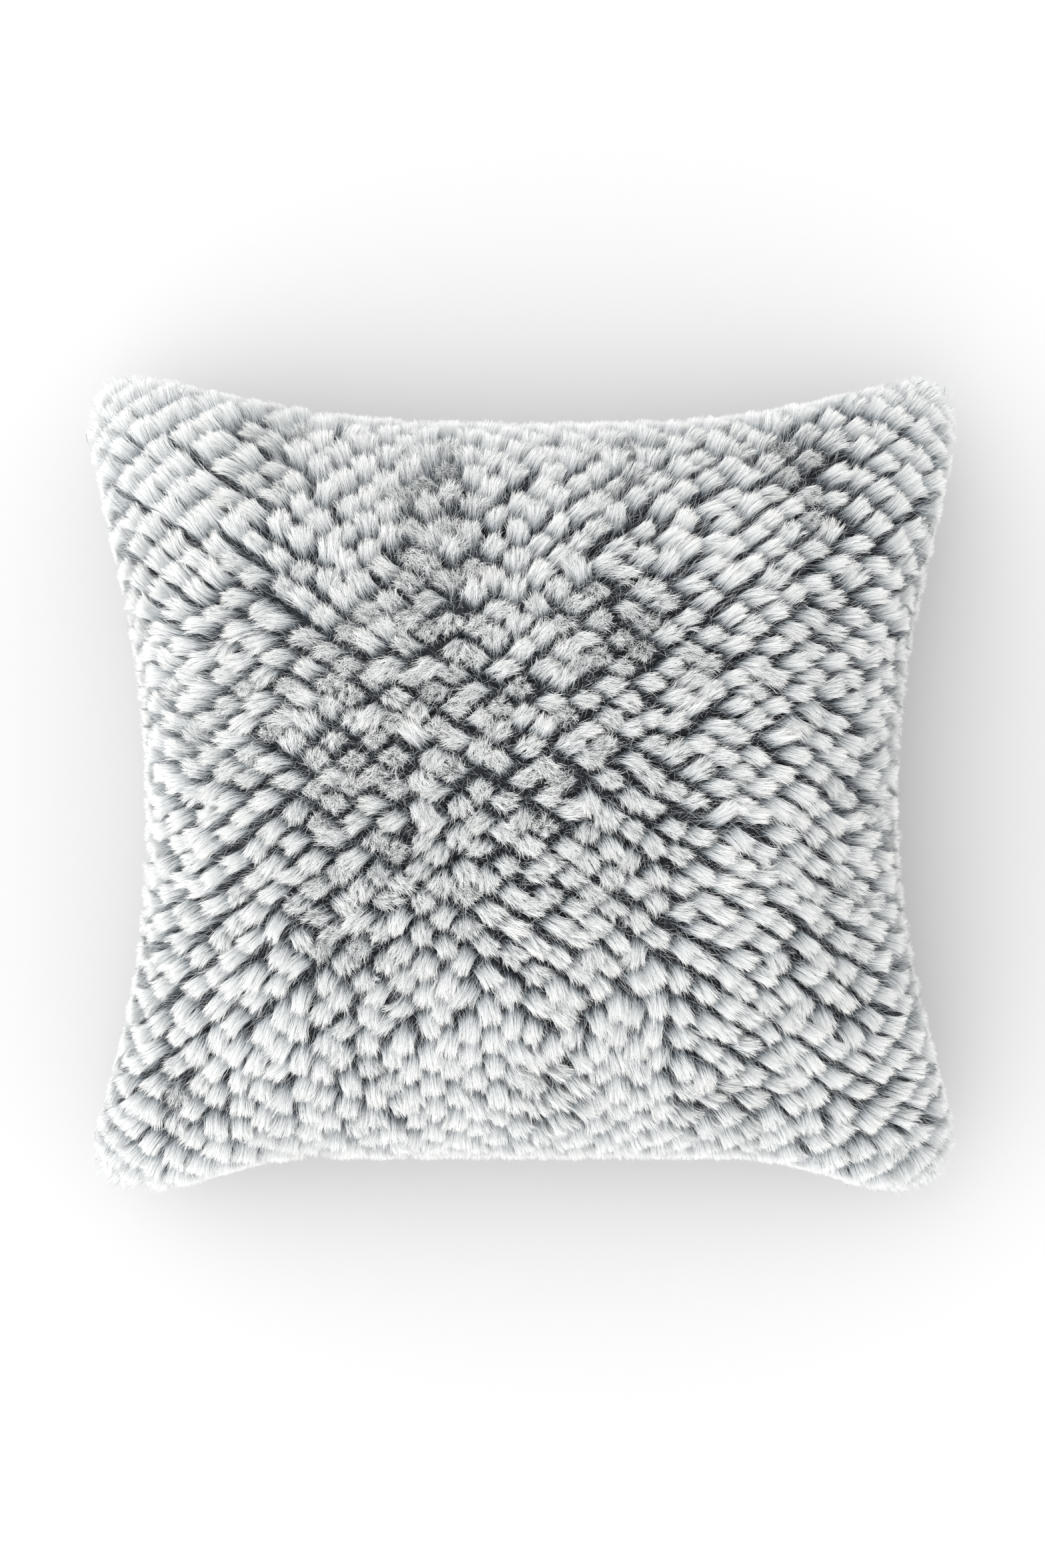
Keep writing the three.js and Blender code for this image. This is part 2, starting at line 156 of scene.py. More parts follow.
def zip_side_dip(along):
    """How far the zip's side is pulled in: evenly along the zip, and less towards the ears."""
    depth, straight_to, corner_at = ZIP_SIDE
    return depth * (1 - smoothstep(straight_to, corner_at, np.abs(along)))


def surface(s, t, side, inset, edge_inset=None):
    """Points of the front (side 1) or back (side -1) surface, inset inside the pile's tips.

    The outline may have an inset of its own.
    """
    rim = inset if edge_inset is None else edge_inset
    trim = CORNER_TRIM * np.abs(s * t) ** 9
    pull_x = np.where(s < 0, side_dip("left", t), side_dip("right", t))
    pull_y = np.where(t < 0, zip_side_dip(s), side_dip("top", s))
    x = s * (WIDTH / 2 - rim - trim - pull_x * s * s)
    y = t * (DEPTH / 2 - rim - trim - pull_y * t * t) + CENTRE_Y
    corner = smoothstep(CORNER_BEGINS, 1, np.abs(s)) * smoothstep(CORNER_BEGINS, 1, np.abs(t))
    seam = SEAM_HEIGHT - CORNER_DROOP * corner
    bulge = np.clip((1 - s * s) * (1 - t * t), 0, 1) ** FULLNESS
    rise = LOFT - SEAM_HEIGHT if side > 0 else BACK_DROP
    z = seam + side * (rise - inset) * bulge
    if side < 0:
        z = np.maximum(z, inset)
    return np.stack([x, y, z], axis=-1)


def surface_frame(s, t, side, inset):
    """Points of the surface and its outward normals."""
    step = 0.004
    s = np.clip(s, -1 + step, 1 - step)
    t = np.clip(t, -1 + step, 1 - step)
    across = surface(s + step, t, side, inset) - surface(s - step, t, side, inset)
    along = surface(s, t + step, side, inset) - surface(s, t - step, side, inset)
    return surface(s, t, side, inset), unit(np.cross(across, along)) * side


def zip_reach(points, half_length=PARTING_HALF, soft=0.008):
    """1 where a point is in front of, above or below the zip, and 0 away from it."""
    along = 1 - smoothstep(half_length - soft, half_length + soft, np.abs(points[..., 0]))
    behind, well_behind = ZIP_Y + 0.006, ZIP_Y + 0.020
    return along * smoothstep(well_behind, behind, points[..., 1])


def parted(points, side):
    """The points with those near the zip moved away from its centre line, to their own side."""
    height = side * (points[..., 2] - ZIP_Z)
    outwards = np.clip(ZIP_Y - points[..., 1], 0, None)
    gap = PARTING + PARTING_FLARE * outwards
    # What is up to three gaps above the line is squeezed in over the gap, and what is below the
    # line comes to the gap's edge, a little unevenly.
    above = gap + height * 2 / 3
    below = gap * (1 + 0.15 * np.tanh(height / gap))
    clear = np.where(height > 3 * gap, height, np.where(height > 0, above, below))
    moved = height + (clear - height) * zip_reach(points)
    return np.concatenate([points[..., :2], (ZIP_Z + side * moved)[..., None]], axis=-1)


def outline_reach():
    """The cover's outline seen from above, as its distance from the middle at each angle."""
    k = np.linspace(-1, 1, 401)
    one = np.ones_like(k)
    sides = [surface(s, t, 1, 0) for s, t in ((one, k), (k, one), (-one, k), (k, -one))]
    points = np.concatenate(sides)
    angle = np.arctan2(points[:, 1], points[:, 0])
    order = np.argsort(angle)
    return angle[order], np.hypot(points[:, 0], points[:, 1])[order]


def trimmed(points, outline, allowance):
    """The points with those outside the outline brought in to it, give or take the allowance."""
    reach = np.hypot(points[:, 0], points[:, 1])
    limit = np.interp(np.arctan2(points[:, 1], points[:, 0]), *outline, period=2 * math.pi)
    rounds_from, rounds_fully = EAR_HEIGHT + 0.004, EAR_HEIGHT + 0.020
    limit -= EAR_ROUND * smoothstep(rounds_from, rounds_fully, points[:, 2])
    scale = np.minimum(1, (limit + allowance) / np.maximum(reach, 1e-6))
    return points * np.stack([scale, scale, np.ones_like(scale)], axis=-1)


# ---- Mesh and material helpers --------------------------------------------------------------------


def mesh_object(name, points, faces):
    mesh = bpy.data.meshes.new(name)
    mesh.from_pydata([tuple(p) for p in points], [], [tuple(f) for f in faces])
    mesh.polygons.foreach_set("use_smooth", [True] * len(mesh.polygons))
    obj = bpy.data.objects.new(name, mesh)
    bpy.context.scene.collection.objects.link(obj)
    return obj


def material(name, roughness, **sockets):
    """A new material: its nodes, its links and its shader, ready for patterns."""
    made = bpy.data.materials.new(name)
    made.use_nodes = True
    nodes, links = made.node_tree.nodes, made.node_tree.links
    shader = nodes["Principled BSDF"]
    shader.inputs["Roughness"].default_value = roughness
    for socket, value in sockets.items():
        shader.inputs[socket.replace("_", " ")].default_value = value
    return made, nodes, links, shader


def ramp(nodes, stops):
    node = nodes.new("ShaderNodeValToRGB")
    elements = node.color_ramp.elements
    while len(elements) < len(stops):
        elements.new(0.5)
    for element, (position, colour) in zip(elements, stops):
        element.position = position
        element.color = (*colour, 1)
    return node


def grid_faces(rows, columns, flipped=False):
    """The quads of a grid of points, rows by columns, facing up the way that rows cross columns."""
    at = np.arange(rows * columns).reshape(rows, columns)
    quads = np.stack([at[:-1, :-1], at[:-1, 1:], at[1:, 1:], at[1:, :-1]], axis=-1).reshape(-1, 4)
    return quads[:, ::-1] if flipped else quads


def panel_grid(steps):
    """s and t of a grid of points over a panel, closer together towards its edges."""
    line = np.sin((np.arange(steps + 1) / steps - 0.5) * math.pi)
    return np.meshgrid(line, line)


def tube(path, radius, sides=6):
    """Points and faces of a round thread along a path, with closed ends."""
    heading = unit(np.gradient(path, axis=0))
    up = np.array([0.0, 0.0, 1.0]) + 0 * heading
    across = unit(np.cross(heading, up))
    up = np.cross(across, heading)
    turn = np.arange(sides) / sides * 2 * math.pi
    ring = np.cos(turn)[None, :, None] * across[:, None] + np.sin(turn)[None, :, None] * up[:, None]
    points = (path[:, None] + radius * ring).reshape(-1, 3)
    first = np.arange(len(path) - 1)[:, None] * sides
    k = np.arange(sides)[None]
    following = (k + 1) % sides
    above = first + sides
    faces = np.stack([first + k, first + following, above + following, above + k], axis=-1)
    ends = [list(range(sides))[::-1], list(range(len(points) - sides, len(points)))]
    return points, [*faces.reshape(-1, 4).tolist(), *ends]


def thicken(piece, thickness, offset=0.0):
    made = piece.modifiers.new("thickness", "SOLIDIFY")
    made.thickness = thickness
    made.offset = offset


def place(piece, finish, node):
    """Gives a piece of the pillow its finish, attaches it to the pillow, and hides the CAD node that
    it stands for.
    """
    piece.data.materials.append(finish)
    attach(piece, "pillow")
    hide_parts(node)


def object_place(nodes):
    return nodes.new("ShaderNodeTexCoord").outputs["Object"]


def split_place(nodes, links):
    made = nodes.new("ShaderNodeSeparateXYZ")
    links.new(object_place(nodes), made.inputs["Vector"])
    return made.outputs["X"], made.outputs["Y"], made.outputs["Z"]


def noise_on(nodes, links, scale, detail=2.0):
    made = nodes.new("ShaderNodeTexNoise")
    made.inputs["Scale"].default_value = scale
    made.inputs["Detail"].default_value = detail
    links.new(object_place(nodes), made.inputs["Vector"])
    return made.outputs["Fac"]


def maths(nodes, links, operation, first, second=0.0):
    """One step of arithmetic. Either value is a number or another node's output."""
    made = nodes.new("ShaderNodeMath")
    made.operation = operation
    for socket, value in zip(made.inputs, (first, second)):
        if isinstance(value, (int, float)):
            socket.default_value = value
        else:
            links.new(value, socket)
    return made.outputs["Value"]


def ridges(nodes, links, value, width):
    """Climbs from 0 to 1 over each width of the value, and falls back over the next."""
    return maths(nodes, links, "MULTIPLY", maths(nodes, links, "PINGPONG", value, width), 1 / width)


def raised(nodes, links, shader, height, distance):
    bump = nodes.new("ShaderNodeBump")
    bump.inputs["Distance"].default_value = distance
    bump.inputs["Strength"].default_value = 1.0
    links.new(height, bump.inputs["Height"])
    links.new(bump.outputs["Normal"], shader.inputs["Normal"])


def coloured(nodes, links, shader, amount, stops):
    tint = ramp(nodes, stops)
    links.new(amount, tint.inputs["Fac"])
    links.new(tint.outputs["Color"], shader.inputs["Base Color"])


# ---- Fur ------------------------------------------------------------------------------------------

FUR_UV = "OFBake"  # u picks a strand's shade, v runs from its root to its tip


def fur_material():
    """Fibre that is charcoal at its root and pale at its tip, with a paler and a darker colouring."""
    made, nodes, links, shader = material("fur_fibre", roughness=0.62)
    shader.inputs["Specular IOR Level"].default_value = 0.25
    uv_map = nodes.new("ShaderNodeUVMap")
    uv_map.uv_map = FUR_UV
    split = nodes.new("ShaderNodeSeparateXYZ")
    links.new(uv_map.outputs["UV"], split.inputs["Vector"])
    pale = ramp(
        nodes,
        [
            (0.0, (0.020, 0.023, 0.028)),
            (0.21, (0.036, 0.041, 0.049)),
            (0.36, (0.18, 0.21, 0.24)),
            (0.49, (0.53, 0.57, 0.59)),
            (0.62, (0.78, 0.795, 0.795)),
            (1.0, (0.87, 0.865, 0.84)),
        ],
    )
    dark = ramp(
        nodes,
        [
            (0.0, (0.020, 0.023, 0.028)),
            (0.32, (0.045, 0.052, 0.062)),
            (0.54, (0.22, 0.25, 0.29)),
            (0.78, (0.48, 0.52, 0.55)),
            (1.0, (0.70, 0.72, 0.73)),
        ],
    )
    mix = nodes.new("ShaderNodeMix")
    mix.data_type = "RGBA"
    links.new(split.outputs["X"], mix.inputs["Factor"])
    for colouring, socket in ((pale, "A"), (dark, "B")):
        links.new(split.outputs["Y"], colouring.inputs["Fac"])
        links.new(colouring.outputs["Color"], mix.inputs[socket])
    links.new(mix.outputs["Result"], shader.inputs["Base Color"])
    return made


def cloth_maps(side):
    """How s and t follow the cloth's own flat lengths, from its middle lines."""
    k = np.linspace(-1, 1, 801)
    maps = []
    for s, t in ((k, 0 * k), (0 * k, k)):
        points = surface(s, t, side, PILE)
        length = np.concatenate([[0], np.cumsum(np.linalg.norm(np.diff(points, axis=0), axis=1))])
        middle = np.interp(0, k, length)
        maps.append((length - middle, k))
    return maps


def tuft_sites(side):
    """s and t of every tuft on a panel."""
    (u_table, s_table), (v_table, t_table) = cloth_maps(side)
    most_steps = 40
    steps = np.arange(-most_steps, most_steps + 1)
    i, j = np.meshgrid(steps, steps)
    flat = i.reshape(-1, 1) * STEP_UP + j.reshape(-1, 1) * STEP_DOWN
    uneven = 0.0010
    flat += rng.normal(0, uneven, flat.shape)
    margin = 0.002
    low = np.array([u_table[0], v_table[0]]) + margin
    high = np.array([u_table[-1], v_table[-1]]) - margin
    flat = flat[np.all((flat > low) & (flat < high), axis=1)]
    return np.interp(flat[:, 0], u_table, s_table), np.interp(flat[:, 1], v_table, t_table)


def drift(points, wavelength):
    """A smooth random field of unit strength over the points."""
    field = np.zeros_like(points)
    waves = 6
    for _ in range(waves):
        heading = rng.random() * 2 * math.pi
        wave = np.array([math.cos(heading), math.sin(heading), 0]) * 2 * math.pi / wavelength
        push = rng.normal(0, 1, 3)
        field += np.sin(points @ wave + rng.random() * 2 * math.pi)[:, None] * push
    return field / math.sqrt(waves / 2)


def lean_of(points, normals):
    """Which way the pile is combed at each tuft, as a vector to add to the normal."""
    away = points - np.array([*WHORL, 0])
    away[:, 2] = 0
    far = np.linalg.norm(away, axis=-1)
    one_sided, least, leans_from, leans_fully = 0.22, 0.08, 0.025, 0.19
    flatter = 1 + one_sided * unit(away) @ COMBED
    amount = LEAN * flatter * (least + smoothstep(leans_from, leans_fully, far))
    lean = unit(away) * amount[:, None]
    drifts, varies = 0.13, 0.09
    lean += drifts * drift(points, wavelength=0.09) + rng.normal(0, varies, points.shape)
    return lean - normals * np.sum(lean * normals, axis=-1, keepdims=True)


def uprightness(lean):
    """1 where the pile stands upright, and 0 where it leans."""
    return np.exp(-((np.linalg.norm(lean, axis=-1) / UPRIGHT_LEAN) ** 2))


def ribbons(name, roots, middles, tips, facing, widths, shade, pale):
    """Flat tapering strands along quadratic curves, as one object.

    Shade picks each strand's colouring, and pale is how much of its dark root it lacks, which carries
    painted light and shade.
    """
    count = len(roots)
    places = (np.arange(SEGMENTS + 1) / SEGMENTS) ** 0.7  # closer together towards the tip
    k = places[:, None, None]
    spine = (1 - k) ** 2 * roots + 2 * k * (1 - k) * middles + k**2 * tips
    heading = unit(2 * (1 - k) * (middles - roots) + 2 * k * (tips - middles))
    across = unit(np.cross(heading, facing[None]))
    taper = np.interp(places, [0, 0.6, 1], [1, 0.95, 0.35])  # its width at three places along it
    half = across * (widths[None, :, None] * taper[:, None, None] / 2)
    lit = unit(np.cross(across, heading) + PILE_SHADING * facing[None])
    points = np.stack([spine - half, spine + half], axis=2)  # section, strand, edge, xyz
    points = points.transpose(1, 0, 2, 3).reshape(-1, 3)
    per_strand = 2 * (SEGMENTS + 1)
    quad = np.array([0, 1, 3, 2])[None, :] + 2 * np.arange(SEGMENTS)[:, None]
    corner_points = (quad[None] + per_strand * np.arange(count)[:, None, None]).reshape(-1)

    mesh = bpy.data.meshes.new(name)
    mesh.vertices.add(len(points))
    mesh.vertices.foreach_set("co", points.astype(np.float32).ravel())
    mesh.loops.add(len(corner_points))
    mesh.loops.foreach_set("vertex_index", corner_points.astype(np.int32))
    mesh.polygons.add(len(corner_points) // 4)
    mesh.polygons.foreach_set("loop_start", np.arange(0, len(corner_points), 4, dtype=np.int32))
    mesh.update(calc_edges=True)
    mesh.polygons.foreach_set("use_smooth", np.ones(len(corner_points) // 4, bool))
    lit = np.repeat(lit.transpose(1, 0, 2).reshape(-1, 3), 2, axis=0)
    mesh.normals_split_custom_set_from_vertices(lit.astype(np.float32))

    along = np.repeat(places, 2)
    edges = np.tile([0.15, 0.85], SEGMENTS + 1)  # a strand's two edges, within its shade's column
    u = (shade[:, None] + edges[None]) / SHADES
    margin = 0.01
    v = (along[None] + pale[:, None]) / (1 + pale[:, None]) * (1 - 2 * margin) + margin
    per_point = np.stack([u, v], axis=-1).reshape(-1, 2)
    layer = mesh.uv_layers.new(name=FUR_UV)
    layer.data.foreach_set("uv", per_point[corner_points].astype(np.float32).ravel())
    obj = bpy.data.objects.new(name, mesh)
    bpy.context.scene.collection.objects.link(obj)
    return obj


def flat_axes(up):
    """Two directions square to each of those given, the first of them to the right."""
    right = np.array([1.0, 0, 0])
    across = unit(right - up * (up @ right)[:, None])
    return across, np.cross(up, across)


def in_cell(a, b):
    """How far a place in a tuft's cell of the lattice is from the cell's middle, across and along."""
    return a * STEP_UP[0] + b * STEP_DOWN[0], a * STEP_UP[1] + b * STEP_DOWN[1]


def tuft_strands(points, normals, lean, gather, length, wildness, per_tuft):
    """The strands of many tufts: roots, middle controls, tips and the way each ribbon faces.

    The roots fill a tuft's whole cell of the cloth. The tips gather into its head, in small locks.
    Wildness scales all that makes a tuft uneven.
    """
    count = len(points)
    once, each = (count, 1, 1), (count, per_tuft, 1)
    each_xyz = (count, per_tuft, 3)
    axis = unit(normals + lean)
    across, along = (v[:, None] for v in flat_axes(normals))
    head_across, head_along = (v[:, None] for v in flat_axes(axis))
    upright = uprightness(lean).reshape(once)
    gather, length, wildness = (v.reshape(once) for v in (gather, length, wildness))

    a, b = rng.random(each) - 0.5, rng.random(each) - 0.5
    x, y = in_cell(a, b)
    lock_a, lock_b = rng.random((2, count, LOCKS)) - 0.5
    # Each strand joins the lock that its root is nearest to.
    nearest = np.argmin((a - lock_a[:, None]) ** 2 + (b - lock_b[:, None]) ** 2, axis=-1)
    own = (np.arange(count)[:, None], nearest)
    lock_x, lock_y = (v[own][..., None] for v in in_cell(lock_a, lock_b))
    join = 0.25  # how far a tip is drawn to its lock's place
    stray_share, stray_spread = 0.08, 1.3
    stray = np.where(rng.random(each) < stray_share, stray_spread, 1.0)

    # A head is rounder than its cell, and has a size, a shape and a place of its own.
    corner_loss = 0.35 + 0.15 * upright
    spread = gather * (1 - corner_loss * np.abs(4 * a * b)) * stray
    varies_across, varies_along = 0.13, 0.10
    tip_x = (x + (lock_x - x) * join) * spread * rng.normal(1, varies_across, once)
    tip_y = (y + (lock_y - y) * join) * spread * rng.normal(1, varies_along, once)
    wander = (0.0007 + 0.0012 * upright) * wildness
    tip_x += rng.normal(0, 1, once) * wander
    tip_y += rng.normal(0, 1, once) * wander
    lock_varies = strand_varies = 0.05
    lock_length = rng.normal(0, lock_varies, (count, LOCKS))[own][..., None]
    # Where the pile stands upright its fibres curl over, each its own way. Elsewhere a whole tuft
    # curves to one side.
    lock_bend, strand_bend, tuft_bend = 0.0011, 0.0013, 0.0016
    bend = rng.normal(0, lock_bend, (count, LOCKS, 3))[own]
    bend += rng.normal(0, strand_bend, each_xyz) * upright
    sideways = np.cross(normals, unit(lean))[:, None] * rng.normal(0, tuft_bend, once)
    bend += sideways * (1 - upright)

    centre, normal, axis = points[:, None], normals[:, None], axis[:, None]
    root = centre + across * x + along * y
    outer = 2 * (a * a + b * b)
    outer_loss, curl_loss, tip_scatter = 0.10, 0.08, 0.0006
    uneven = (lock_length + rng.normal(0, strand_varies, each)) * wildness
    long = length * (1 + uneven - outer_loss * outer * wildness)
    tip = centre + axis * long * (1 - curl_loss * upright) + head_across * tip_x + head_along * tip_y
    tip += (bend + rng.normal(0, tip_scatter, each_xyz) * stray) * wildness
    # The strands draw together at the neck and splay out again at the head.
    neck_rise, neck_spread = 0.50 + 0.26 * upright, 0.50 + 0.12 * upright
    neck_lean, neck_bend, neck_scatter = 0.14, 0.25, 0.0008
    middle = centre + (normal * neck_rise + axis * neck_lean) * long
    middle += (across * x + along * y) * neck_spread
    middle += rng.normal(0, neck_scatter, each_xyz) - neck_bend * bend
    twist = 0.22
    facing = unit(normal + twist * unit(rng.normal(size=each_xyz)))
    return [v.reshape(-1, 3) for v in (root, middle, tip, facing)]


def under_strands(points, normals, lean, per_tuft):
    """The short grey fibres that stay out of the tufts."""
    each_xyz = (len(points), per_tuft, 3)
    half_leaning = unit(normals + 0.5 * lean)
    normal, axis = normals[:, None], half_leaning[:, None]
    spread = rng.normal(0, 1, each_xyz)
    flat = spread - normal * np.sum(spread * normal, axis=-1, keepdims=True)
    reach, shortest, longest = 0.006, 0.011, 0.016
    root = points[:, None] + flat * reach
    long = shortest + (longest - shortest) * rng.random((*each_xyz[:2], 1))
    disorder, rise, scatter, twist = 0.45, 0.45, 0.0006, 0.8
    aim = unit(axis + disorder * unit(rng.normal(size=each_xyz)))
    tip = root + aim * long
    middle = root + normal * (long * rise) + rng.normal(0, scatter, each_xyz)
    facing = unit(normal + twist * unit(rng.normal(size=each_xyz)))
    return [v.reshape(-1, 3) for v in (root, middle, tip, facing)]


def tufts_of(side):
    """How each tuft of one face grows, how pale its strands' roots are, partly as painted light and
    shade, and its shade of colouring.

    How it grows is its place, the cloth's normal, its lean, its head's spread, its length and its
    wildness, in the order that tuft_strands takes them.
    """
    s, t = tuft_sites(side)
    points, normals = surface_frame(s, t, side, PILE)
    to_seam = np.maximum(np.abs(s), np.abs(t))
    edge = smoothstep(0.55, 1.0, to_seam)
    ear = np.abs(s * t) ** 4
    lean = lean_of(points, normals)
    # Beside the seam the pile turns towards it, so that the two faces' fur meets over it.
    turned = 0.5 * smoothstep(0.88, 1.0, to_seam)
    lean[:, 2] -= side * turned
    upright = uprightness(lean)
    upper_left = unit(COMBED + np.array([0, 0.7, 0]))
    flattest = np.clip(unit(lean) @ upper_left, 0, 1)
    fuller = (1 - flattest) * (1 - upright)
    # Towards the edges the tufts are more even, and their heads spread wider.
    wildness = 1 - 0.55 * edge
    varies = 0.05
    gather = HEAD_GATHER + 0.30 * edge**2 + rng.normal(0, varies, len(s))
    gather -= 0.10 * fuller * (1 - edge)
    length = PILE_LENGTH * (1 + rng.normal(0, varies, len(s)) * wildness)
    if side < 0:
        length *= 1 - 0.25 * edge  # the front's fur covers the outline
    length *= 1 - 0.22 * ear
    # Painted light and shade in the roots' paleness: paler where the pile stands upright, to make up
    # for the shade among its strands; paler where it leans towards the upper left, as if lit from
    # there; and darker where it leans away, as painted shade. The roots are also a little paler
    # towards the edges and the ears.
    pale = 0.04 * edge + 0.27 * upright + 0.26 * flattest - 0.05 * fuller + 0.04 * ear
    usual_shade, shade_varies = 4, 1.5
    shade = rng.normal(usual_shade, shade_varies, len(s))
    return (points, normals, lean, gather, length, wildness), np.clip(pale, 0, 1), shade


def tiled(points, kept, tiles):
    """The numbers of the points kept, in tiles across and along the face that hold equally many."""
    order = np.argsort(points[:, 0])
    found = []
    for column in np.array_split(order[kept[order]], tiles):
        found += np.array_split(column[np.argsort(points[column, 1])], tiles)
    return found


def clear_of(points, side):
    """The points moved clear of the zip and of the floor."""
    points = parted(points, side)
    points[:, 2] = np.maximum(points[:, 2], FLOOR_GAP + FLOOR_UNEVEN * rng.random(len(points)))
    return points


def grow_fur(label, side, node, finish, per_tuft, under, width, tiles):
    """The fur of one face, in tiles across and along it, each a piece of its own."""
    growth, pale, tint = tufts_of(side)
    points, normals, lean = growth[:3]
    outline = outline_reach()
    trim = TRIM if side > 0 else BACK_TRIM
    ragged, darker, darkest = 0.0006, 3, SHADES - 1
    bare = (zip_reach(points, BARE_HALF) > 0.5) & (np.abs(points[:, 2] - ZIP_Z) < BARE_HEIGHT)
    for number, tile in enumerate(tiled(points, ~bare, tiles), start=1):
        top = tuft_strands(*(values[tile] for values in growth), per_tuft)
        low = under_strands(points[tile], normals[tile], lean[tile], under)
        total, below = len(top[0]), len(low[0])
        # A tuft's strands are its own shade or darker, and the short fibres are darker still.
        top_shade = np.repeat(tint[tile], per_tuft) + np.abs(rng.normal(0, darker, total))
        low_shade = rng.uniform(10, darkest, below)
        shade = np.clip(np.concatenate([top_shade, low_shade]), 0, darkest).astype(int)
        widths = width * np.concatenate([rng.uniform(0.75, 1.2, total), rng.uniform(0.6, 1.0, below)])
        root, middle, tip, facing = (np.concatenate(pair) for pair in zip(top, low))
        tip = trimmed(tip, outline, trim + rng.normal(0, ragged, total + below))
        spine = [clear_of(ends, side) for ends in (root, middle, tip)]
        # The tufts' strands carry the painted light and shade in their roots' paleness; the short
        # fibres get none.
        paleness_with_painted_light = np.concatenate([np.repeat(pale[tile], per_tuft), np.zeros(below)])
        piece = ribbons(f"{label}_fur_{number}", *spine, facing, widths, shade, paleness_with_painted_light)
        place(piece, finish, node)


def backing_material():
    made, nodes, links, shader = material("fur_backing", roughness=0.9)
    greys = [(0.3, (0.016, 0.018, 0.022)), (0.7, (0.045, 0.050, 0.058))]
    coloured(nodes, links, shader, noise_on(nodes, links, scale=900), greys)
    return made


def backing(label, side, node, finish):
    """The knit that the pile grows from: a thin shell over one face, tucked in behind the zip."""
    s, t = panel_grid(96)
    points = surface(s, t, side, PILE)
    height = np.abs(points[..., 2] - ZIP_Z)
    near, far = 0.003, 0.010
    beside_zip = (1 - smoothstep(near, far, height)) * zip_reach(points, RECESS_HALF, soft=0.004)
    points[..., 1] += RECESS * beside_zip
    faces = grid_faces(*s.shape, flipped=side < 0)
    piece = mesh_object(f"{label}_backing", points.reshape(-1, 3), faces)
    thicken(piece, BACKING_THICKNESS, offset=-1)
    place(piece, finish, node)


# ---- Threads --------------------------------------------------------------------------------------


def thread_material():
    """Thread twisted from plies, which show as slanted ridges."""
    made, nodes, links, shader = material("twisted_thread", roughness=0.7, Sheen_Weight=0.3)
    x, y, z = split_place(nodes, links)
    wound = maths(nodes, links, "ADD", maths(nodes, links, "ADD", x, y), z)
    plies = ridges(nodes, links, wound, width=0.00035)
    coloured(nodes, links, shader, plies, [(0.1, (0.16, 0.18, 0.20)), (0.7, (0.34, 0.36, 0.38))])
    raised(nodes, links, shader, plies, distance=0.0001)
    return made


def stitch_line(node, line_at, length, finish, slot):
    """A row of stitches along a line: the thread swings up and down between the cloth's two faces."""
    stitches = round(length / STITCH)
    steps_each = 6
    u = np.linspace(0, 1, stitches * steps_each + 1)
    path = line_at(u)
    wave = np.sin(u * stitches * math.pi)
    squared_off = 0.6
    path[:, 2] += STITCH_SWING * np.sign(wave) * np.abs(wave) ** squared_off
    piece = mesh_object(node + "_stitches", *tube(path, THREAD_RADIUS))
    place(piece, finish, node)


def seam_line(inset, start, end):
    """A line along the cover's or the insert's seam, between two places given as (s, t)."""

    def line_at(u):
        s = start[0] + (end[0] - start[0]) * u
        t = start[1] + (end[1] - start[1]) * u
        return surface(s, t, 1, inset)

    ends = line_at(np.array([0.0, 1.0]))
    return line_at, np.linalg.norm(ends[1] - ends[0])


def sew_seams(thread, cotton_thread):
    """The seams of the cover and of the insert, each side of the square on its own."""
    corner = 0.94
    cover_inset = COVER_THICKNESS + SEAM_ALLOWANCE
    insert_inset = INSERT_EDGE - SEAM_ALLOWANCE
    zip_end = abs(corners("cover_seam_thread_zip_right")[0][0]) / (WIDTH / 2 - cover_inset)
    sides = {
        "left": ((-1, corner), (-1, -corner)),
        "right": ((1, -corner), (1, corner)),
        "top": ((corner, 1), (-corner, 1)),
    }
    zip_sides = {
        "zip_left": ((-corner, -1), (-zip_end, -1)),
        "zip_right": ((zip_end, -1), (corner, -1)),
    }
    for name, run in {**sides, **zip_sides}.items():
        stitch_line(f"cover_seam_thread_{name}", *seam_line(cover_inset, *run), thread, "thread")
    for name, run in sides.items():
        line = seam_line(insert_inset, *run)
        stitch_line(f"insert_seam_thread_{name}", *line, cotton_thread, "cotton_thread")
    closing = seam_line(insert_inset, (-corner, -1), (corner, -1))
    stitch_line("insert_closing_thread", *closing, cotton_thread, "cotton_thread")


# ---- Zip ------------------------------------------------------------------------------------------


def tape_material():
    """A woven tape: a herringbone of two greys."""
    made, nodes, links, shader = material("woven_tape", roughness=0.8, Sheen_Weight=0.2)
    x, _, z = split_place(nodes, links)
    row = 0.0016
    chevron = maths(nodes, links, "ADD", x, maths(nodes, links, "PINGPONG", z, row))
    ribs = ridges(nodes, links, chevron, width=0.00028)
    coloured(nodes, links, shader, ribs, [(0.15, (0.30, 0.31, 0.33)), (0.75, (0.52, 0.53, 0.55))])
    raised(nodes, links, shader, ribs, distance=0.0002)
    return made


def coil_material():
    made, nodes, links, shader = material("nylon_coil", roughness=0.38, Coat_Weight=0.2)
    greys = [(0.35, (0.36, 0.38, 0.40)), (0.65, (0.46, 0.48, 0.50))]
    coloured(nodes, links, shader, noise_on(nodes, links, scale=1200), greys)
    return made


